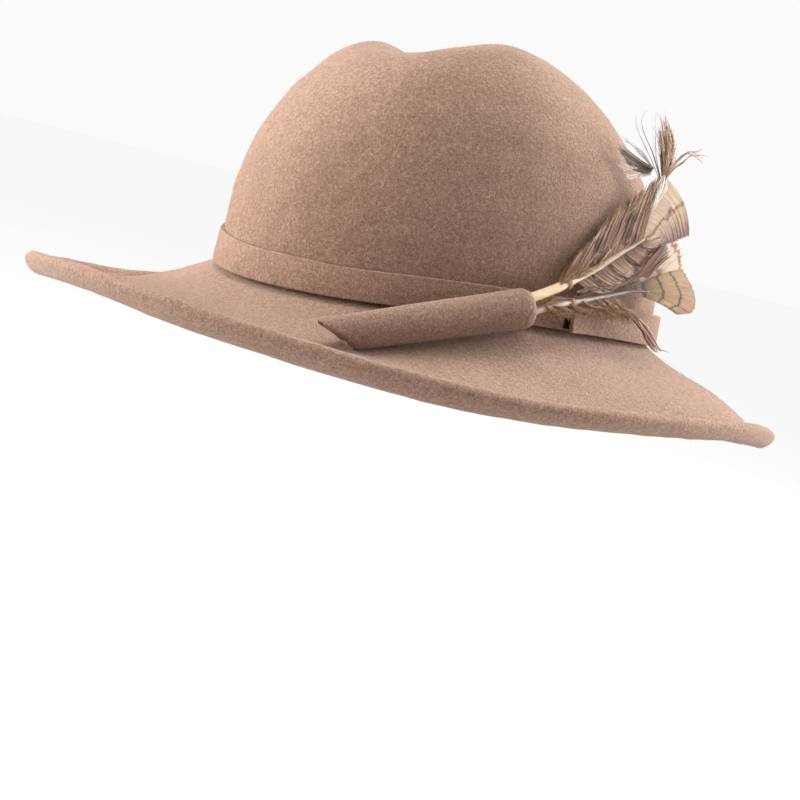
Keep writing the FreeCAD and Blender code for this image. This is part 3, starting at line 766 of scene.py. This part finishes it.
def make_quills():
    """Both shafts and the thread wound round each, with its frayed ends."""
    cream = quill_material("upper_shaft", (0.78, 0.55, 0.32), (0.70, 0.50, 0.34), (0.42, 0.29, 0.22))
    pale = quill_material("lower_shaft", (0.70, 0.54, 0.40), (0.50, 0.38, 0.30), (0.05, 0.035, 0.03))
    at = np.linspace(0, 1, 150)
    for name, offset, places, material, fat, thin in (
            ("upper_shaft", 3.0, UPPER_SHAFT, cream, 2.35, 0.6),
            ("lower_shaft", -2.9, LOWER_SHAFT, pale, 1.65, 0.5)):
        line = quill_line(offset, places, at)
        radius = fat + (thin - fat) * np.clip((at - 0.36) / 0.64, 0, 1) ** 1.15
        radius = radius * (1 + 0.035 * np.sin(at * 47) * np.sin(at * 19))
        radius[:4] *= [0.35, 0.6, 0.8, 0.93]
        points, uv = tube_grid(line, radius, 20, 0.86)
        faces = grid_faces(*points.shape[:2], close_columns=True)
        made = build(name, points.reshape(-1, 3), faces, material, uv.reshape(-1, 2), closed=True)
        finish_piece(made, "feather_spray", "quill", "upper_quill" if offset > 0 else "lower_quill")
    winding = strand_material("binding_thread", (0.30, 0.17, 0.08), (0.62, 0.40, 0.20), 0.55)
    for name, offset, places, centre, radius, node in (
            ("upper_winding", 3.0, UPPER_SHAFT, 0.505, 2.45, "upper_binding"),
            ("lower_winding", -2.9, LOWER_SHAFT, 0.515, 1.75, "lower_binding")):
        random = np.random.default_rng(len(name))
        batch = Batch()
        turns = 5
        t = np.linspace(0, 1, turns * 20)
        middle = quill_line(offset, places, centre + 0.011 * (t - 0.5) * 2)
        tangent = unit(np.gradient(middle, axis=0))
        side = unit(np.cross(tangent, SPRAY_OUT))
        over = np.cross(side, tangent)
        turn = t * turns * TURN
        loop = middle + (side * np.cos(turn)[:, None] + over * np.sin(turn)[:, None]) * radius
        batch.tube(loop, 0.26, 0.35, sides=6)
        for _ in range(9):
            start = loop[random.integers(0, len(loop))]
            way = unit(random.normal(size=3) + AXIS * random.choice([-1.0, 1.4]))
            bend = unit(random.normal(size=3))
            s = np.linspace(0, 1, 9)[:, None]
            hair = start + way * s * random.uniform(2.0, 5.5) + bend * s ** 2 * 1.4
            batch.tube(hair, 0.13 * (1 - 0.6 * s[:, 0]), random.uniform(0.3, 1), sides=4)
        finish_piece(batch.build(name, winding), "feather_spray", "thread", node)


def make_feathers():
    """Every vane and loose strand, each with its own material."""
    brown = (0.205, 0.100, 0.062)
    dark_brown = (0.120, 0.058, 0.037)
    gold = (0.42, 0.27, 0.15)
    beige = (0.36, 0.215, 0.135)
    pale = (0.47, 0.33, 0.215)
    black = (0.060, 0.032, 0.021)
    mauve = (0.20, 0.115, 0.085)

    left = vane_material("brown_barbs", (0.33, 0.185, 0.11), brown, (0.44, 0.26, 0.145),
        dark_brown, 2.6, 0.1, 0.8, 0.76, wobble=1.7)
    make_vane("upper_left_barbs", "brown_vane", ["upper_vane"], left,
        [(9.5, 22.8), (22, 30), (34, 37.5), (45, 44.5), (55, 51)],
        [(18, 37.5), (30, 52), (41, 63), (52, 72), (60, 78.5)],
        300, 0.5, bow=0.05, arch=1.0, seed=11, clump=0.35, out=-0.2)
    rim = strand_material("gold_rim", (0.22, 0.13, 0.07), gold, 0.5)
    make_strands("upper_rim_barbs", "brown_vane", [], rim,
        [[(9, 22, 0.4), (12.5, 29), (21, 40), (30, 51), (41, 61), (53, 70.5), (60.5, 79)],
         [(11, 23, 0.6), (14.5, 29), (24, 41), (34, 53), (46, 63), (57, 73), (61, 79)],
         [(20, 29, 0.6), (27, 38), (36, 50), (47, 61), (57, 71), (61, 78)],
         [(30, 35, 0.8), (38, 46), (47, 57), (55, 67), (61, 77)]],
        0.32, seed=12, copies=20, spread=1.1)
    right = vane_material("beige_barbs", (0.21, 0.125, 0.08), beige, (0.33, 0.20, 0.13),
        black, 4.6, 0.42, 0.15, 0.86, wobble=0.45, depth=0.8)
    make_vane("upper_right_barbs", "pale_vane", [], right,
        [(20, 27), (30, 32.8), (40, 39.6), (50, 46.2), (56, 50.5)],
        [(35, 23.5), (44, 29), (53, 35.5), (62, 44.5), (67, 54.5)],
        210, 0.5, bow=-0.08, arch=0.7, seed=13, clump=0.25, out=-0.5, loose=0.6)
    sail = vane_material("sail_barbs", (0.56, 0.42, 0.30), pale, mauve,
        brown, 1.3, 0.78, -0.2, 0.93, along="V", wobble=0.5, depth=0.35)
    make_vane("curled_barbs", "pale_vane", [], sail,
        [(50, 48), (55, 58), (59, 69), (62, 79)],
        [(60, 43.5), (70, 50.5), (77, 54), (83.5, 57)],
        240, 0.95, bow=0.12, arch=0.9, seed=14, clump=0.05, out=-1.4, ragged=0.014, loose=0.2)
    lower = vane_material("fan_barbs", (0.17, 0.105, 0.055), (0.33, 0.20, 0.09), (0.31, 0.17, 0.08),
        black, 3.1, 0.05, 0.1, 0.88, along="V", wobble=0.16, depth=0.5)
    make_vane("lower_fan_barbs", "pale_vane", ["lower_vane"], lower,
        [(60.5, 27), (60, 28.5), (59.5, 30), (59, 31.5)],
        [(84, 22.4), (93, 25.5), (91.5, 33.5), (82.5, 42)],
        190, 0.95, bow=0.03, arch=0.8, seed=15, clump=0.05, out=-1.4, taper=-0.15, ragged=0.014,
        loose=0.2)
    wing = vane_material("pale_wing_barbs", (0.28, 0.20, 0.16), (0.50, 0.37, 0.27), (0.62, 0.48, 0.35),
        brown, 2.0, 0.3, 0.3, 0.88, along="V", wobble=0.5, depth=0.45)
    make_vane("lower_wing_barbs", "pale_vane", [], wing,
        [(56, 29), (60, 31), (63.5, 30)],
        [(68, 47.5), (76, 54.5), (86.5, 42)],
        180, 0.85, bow=0.06, arch=0.8, seed=16, clump=0.08, out=-1.9, taper=0.0, ragged=0.02, loose=0.3)
    rust = vane_material("rust_barbs", (0.19, 0.09, 0.055), (0.27, 0.105, 0.048), (0.13, 0.05, 0.038),
        mauve, 1.0, 0.2, 0.6, 0.6, wobble=0.6)
    make_vane("rust_barbs", "rust_vane", ["rust_feather"], rust,
        [(53, 33.5), (56.5, 34.5), (60, 34.6)],
        [(64.5, 49.5), (69, 50), (70.5, 45)],
        60, 0.5, bow=0.05, arch=0.6, seed=17, clump=0.3, out=0.9)
    slate = vane_material("slate_barbs", (0.085, 0.052, 0.037), (0.13, 0.09, 0.068), (0.28, 0.22, 0.18),
        sheen=0.1)
    make_vane("slate_barbs", "dark_vane", ["dark_feather"], slate,
        [(57, 79), (58, 80.5), (59, 82)],
        [(47.5, 78.5), (40, 83.5), (37, 87.5)],
        70, 0.62, bow=0.04, arch=0.5, seed=18, clump=0.35, out=-4.4)
    haze = strand_material("pale_fluff", (0.55, 0.50, 0.46), (0.88, 0.85, 0.82), 0.7)
    make_strands("slate_fluff", "down", [], haze,
        [[(58, 79, -4.4), (52, 77.5, -4.4), (46, 75.5, -4.4), (42, 76, -4.4)],
         [(58, 80, -4.4), (50, 80, -4.4), (43, 79, -4.4), (38, 80, -4.4)],
         [(58, 82, -4.2), (50, 86.5, -4.4), (42, 90, -4.4), (35, 90.5, -4.4)]],
        0.3, seed=19, copies=16, spread=1.1)
    make_strands("pinch_fluff", "down", [], haze,
        [[(61.5, 79, 0.6), (60, 74, 1.2), (58, 69, 1), (56, 63.5, 0.8)],
         [(62.5, 78, 0.6), (62, 73, 1.3), (60, 68, 1.2), (58, 64, 0.6)],
         [(61, 79, 0.4), (58, 73, 1), (57, 68, 1.2), (55, 62, 0.8)]],
        0.34, seed=20, copies=9, spread=0.9)
    tuft = strand_material("plume_barbs", (0.19, 0.095, 0.052), (0.50, 0.29, 0.165), 0.5)
    make_strands("plume_tuft", "brown_vane", ["plume_barbs"], tuft,
        [[(61, 76, -0.4), (61.5, 84, 0.4), (60.5, 93, 0.6), (57.5, 101, 0.4)],
         [(61.5, 76, -0.4), (63, 85, 0.2), (63.5, 93, 0), (60, 100, 0)],
         [(61, 76, 0.2), (59.5, 84, 0.4), (56, 92, 0.6), (53, 99, 1.4)],
         [(61.5, 77, 0), (61, 86, 0.8), (58, 96, 1.4), (53.5, 104, 1.8)],
         [(62, 77, 0.4), (64, 83, 0.2), (65, 88, -0.4), (64.5, 93, -1)]],
        0.56, seed=21, copies=30, spread=1.15)
    wisp = strand_material("wisp_barbs", (0.13, 0.09, 0.07), (0.32, 0.22, 0.16), 0.6)
    make_strands("plume_wisps", "brown_vane", [], wisp,
        [[(61, 77, -1), (54, 87, -1), (47.5, 93, -1), (44, 99, -1), (45, 104, -1)],
         [(61, 77, -1), (55, 88, -1), (51, 96, 0), (49, 104, 0)],
         [(60, 77, -1), (53, 85, -1.4), (47, 91.5, -1.8), (42, 97, -2), (41, 103, -2)],
         [(61, 78, 0), (58, 90, 1), (55, 100, 1), (50, 105, 1)]],
        0.36, seed=22, copies=2, spread=0.6)
    make_strands("plume_side_barbs", "brown_vane", [], tuft,
        [[(61.5, 76, 0), (66, 84.5, 0.4), (71, 90, 0.8), (78, 91, 0.8), (88, 92.5, 0.6)],
         [(61.5, 76, 0), (66.5, 83, 0.4), (71, 86.5, 0.8), (76, 90.5, 0.8), (84, 88.5, 0.4)],
         [(61.5, 76, 0), (67, 85, 0.4), (72.5, 91, 0.8), (79, 93, 0.6), (84, 96, 0.4)]],
        0.62, seed=23, copies=4, spread=0.35)
    curls = strand_material("golden_down", (0.12, 0.065, 0.036), (0.52, 0.32, 0.18), 0.6)
    make_strands("quill_down", "down", ["down_tuft"], curls,
        [[(4, 13.4, 1.4), (7, 12.4, 1.8), (11, 11.6, 1.8), (15, 13, 1.6)],
         [(8, 14.4, 1.4), (12, 13, 2), (17, 12.4, 1.8), (22, 14.4, 1.6)],
         [(17, 16.6, 1.4), (22, 15, 2), (27, 14.8, 1.8), (31, 17, 1.6)],
         [(24, 18.5, 1.4), (30, 16.8, 2), (36, 16.6, 1.8), (41, 18.5, 1.4)],
         [(32, 20.5, 1.4), (36, 17.6, 2), (42, 15.5, 1.8), (47, 16.4, 1.4)],
         [(36, 21.5, 1.4), (42, 18.6, 2), (49, 16.4, 1.8), (55, 17.4, 1.4)],
         [(41, 23, 1.4), (46, 19.6, 2), (50, 17.4, 1.8), (52, 14.6, 1.4)]],
        0.26, seed=24, copies=34, spread=1.7, wave=1.1, flat=False)
    make_strands("shaft_fibres", "down", [], curls,
        [[(9, 23, 1.2), (12, 26.5, 1.6), (13, 30, 1.2)], [(12, 25, 2), (17, 29.5, 2), (26, 34, 1.6)],
         [(15, 26.5, 2), (24, 31.6, 2), (36, 38.6, 1.6)], [(3, 14.6, 1.6), (9, 17, 1.8), (16, 18.6, 1.6)],
         [(20, 22, 0.6), (27, 24.5, 0.8), (37, 29, 0.4)], [(24, 24, 0.2), (34, 26.5, 0.4), (45, 29, 0.2)]],
        0.26, seed=25, copies=16, spread=1.0, wave=0.6, flat=False)
    hanging = strand_material("hanging_barbs", (0.12, 0.05, 0.035), (0.36, 0.19, 0.13), 0.5)
    make_strands("hanging_barbs", "rust_vane", ["hanging_strand"], hanging,
        [[(44, 19.5, 1.2), (53, 16.4, 2), (62.5, 11, 2), (70, 6.4, 1.6), (81, 4.6, 1.2)],
         [(46, 19.5, 1.2), (56, 17, 2), (64, 12.6, 2), (70, 7.6, 1.6), (76, 4, 1.2)],
         [(48, 20, 1.2), (57, 15.5, 2.2), (63, 9.4, 2), (69, 5.2, 1.6), (73, 4.4, 1.2)]],
        0.50, seed=26, copies=12, spread=0.6)
    shade_barbs = strand_material("dark_underbarbs", (0.045, 0.028, 0.02), (0.26, 0.18, 0.12), 0.6)
    make_strands("under_barbs", "brown_vane", [], shade_barbs,
        [[(20, 26, -1), (27, 25.6, -1), (35, 26.5, -1), (44, 28, -1.2)],
         [(26, 29, -1), (34, 29.6, -1), (43, 32, -1), (52, 35, -1.2)],
         [(22, 20, -1.5), (32, 24, -1.5), (42, 29, -1.5), (52, 33, -1.5)],
         [(30, 22, -1.5), (40, 26.5, -1.5), (50, 31.5, -1.5), (58, 36, -1.5)],
         [(44, 26, -1.5), (50, 29, -1.2), (56, 31, -1), (61, 31, -1)]],
        0.55, seed=27, copies=20, spread=1.3, wave=0.3)


# ---- loose fibres of the felt


def make_fuzz(name, patch, count, longest, seed):
    """Short fibres that stand off the felt; the patch is a grid of points on its surface."""
    random = np.random.default_rng(seed)
    du = np.linalg.norm(np.diff(patch, axis=0)[:, :-1], axis=-1)
    dv = np.linalg.norm(np.diff(patch, axis=1)[:-1], axis=-1)
    area = (du * dv).ravel()
    cells = random.choice(len(area), size=count, p=area / area.sum())
    row, column = np.divmod(cells, patch.shape[1] - 1)
    a, b = random.random((2, count, 1))
    corner = patch[row, column]
    along_u = patch[row + 1, column] - corner
    along_v = patch[row, column + 1] - corner
    base = corner + along_u * a + along_v * b
    normal = unit(np.cross(along_u, along_v))
    normal *= np.sign(np.einsum("ij,ij->i", normal, base - patch.reshape(-1, 3).mean(0)))[:, None]
    lay = unit(np.cross(normal, random.normal(size=(count, 3))))
    stand = random.beta(1.3, 3.0, size=(count, 1))
    way = unit(lay * (1 - stand) + normal * stand)
    long = longest * random.uniform(0.35, 1.0, size=(count, 1))
    side = unit(np.cross(way, random.normal(size=(count, 3)))) * 0.022
    bend = unit(random.normal(size=(count, 3))) * long * 0.22
    middle = base + way * long * 0.5 + bend * 0.5
    end = base + way * long + bend - normal * long * stand * 0.3
    points = np.stack([base - side, base + side, middle + side * 0.8, middle - side * 0.8, end], 1)
    start = 5 * np.arange(count)[:, None]
    faces = (start + [0, 1, 2, 3]).tolist() + (start + [3, 2, 4]).tolist()
    tones = np.repeat(random.uniform(0.35, 1.0, count), 5)
    finish_piece(build(name, points.reshape(-1, 3), faces, fuzz_fibre, shade=tones), "hat", "felt")


crown_grid = make_crown()
brim_grid = make_brim()
band_piece = make_band()
ribbon_piece = make_sweatband()
holder_piece, holder_grid = make_holder()
make_quills()
make_feathers()

make_fuzz("crown_fibres", np.concatenate([crown_grid, crown_grid[:, :1]], 1), 26000, 1.9, 41)
make_fuzz("brim_fibres", np.concatenate([brim_grid, brim_grid[:, :1]], 1)[6:118], 26000, 2.1, 42)
make_fuzz("holder_fibres", holder_grid[:, 60:], 2200, 1.6, 43)

for node in ("headline_stitches", "band_stitches", "sweatband_stitches", "holder_stitches"):
    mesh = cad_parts[node].data
    mesh.materials.clear()
    mesh.materials.append(thread)

# ---- floor, light and camera


def make_floor():
    """Plain pale floor, wide enough to end out of sight."""
    n = Nodes("studio_floor")
    tone = n.noise(n.object_place(), 3.0, 2.0, 0.5)
    n.set(n.ramp(tone, [(0.3, (0.19, 0.19, 0.19)), (0.7, (0.21, 0.21, 0.21))]), Roughness=0.95,
          Specular_IOR_Level=0.0, Emission_Color=(0.93, 0.93, 0.93, 1.0), Emission_Strength=0.885)
    side, level = 9000.0, -330.0
    corners = [(-side, -side, level), (side, -side, level), (side, side, level), (-side, side, level)]
    floor = build("studio_floor", corners, [[0, 1, 2, 3]], n.material)


AZIMUTH, ELEVATION, ROLL = math.radians(57.9), math.radians(7.1), math.radians(15.0)
BACK = Vector((math.sin(AZIMUTH) * math.cos(ELEVATION), -math.cos(AZIMUTH) * math.cos(ELEVATION),
               math.sin(ELEVATION)))
LEVEL_RIGHT = (-BACK).cross(Vector((0, 0, 1))).normalized()
LEVEL_UP = LEVEL_RIGHT.cross(-BACK)
RIGHT = LEVEL_RIGHT * math.cos(ROLL) + LEVEL_UP * math.sin(ROLL)
UP = LEVEL_UP * math.cos(ROLL) - LEVEL_RIGHT * math.sin(ROLL)


def make_camera():
    lens = bpy.data.cameras.new("camera")
    lens.lens = 91.7
    lens.sensor_width = 36.0
    lens.clip_end = 50.0
    camera = add_object("camera", lens)
    target = RIGHT * -0.0173 + UP * -0.0469
    facing = Matrix((RIGHT, UP, BACK)).transposed().to_4x4()
    camera.matrix_world = Matrix.Translation(target + BACK * 0.9225) @ facing
    bpy.context.scene.camera = camera


def make_light(name, right, up, back, size, power, colour=(1, 1, 1)):
    """Soft square light that faces the hat, placed by the camera's own directions."""
    data = bpy.data.lights.new(name, "AREA")
    data.size = size
    data.energy = power
    data.color = colour
    light = add_object(name, data)
    place = RIGHT * right + UP * up + BACK * back
    light.location = place
    light.rotation_mode = "QUATERNION"
    light.rotation_quaternion = (Vector((0, 0, 0.03)) - place).to_track_quat("-Z", "Y")


def make_world():
    """Soft white light all round; the camera sees a paler plain wall."""
    world = bpy.data.worlds.new("studio")
    world.use_nodes = True
    tree = world.node_tree
    background = tree.nodes["Background"]
    background.inputs["Color"].default_value = (1.0, 0.995, 0.985, 1.0)
    background.inputs["Strength"].default_value = 0.55
    seen = tree.nodes.new("ShaderNodeBackground")
    seen.inputs["Color"].default_value = (0.96, 0.96, 0.96, 1.0)
    path = tree.nodes.new("ShaderNodeLightPath")
    mix = tree.nodes.new("ShaderNodeMixShader")
    tree.links.new(path.outputs["Is Camera Ray"], mix.inputs[0])
    tree.links.new(background.outputs[0], mix.inputs[1])
    tree.links.new(seen.outputs[0], mix.inputs[2])
    tree.links.new(mix.outputs[0], tree.nodes["World Output"].inputs["Surface"])
    bpy.context.scene.world = world


make_floor()
make_camera()
make_light("key", -1.7, 0.42, -0.3, 1.4, 106.0, (1.0, 0.985, 0.96))
make_light("rim", 1.6, 0.3, -0.55, 1.2, 76.0)
make_light("top", 0.0, 1.7, 0.25, 1.3, 33.0)
make_light("front", -0.8, 1.2, 1.3, 1.0, 8.0)
make_world()
bpy.context.scene.view_settings.view_transform = "Standard"
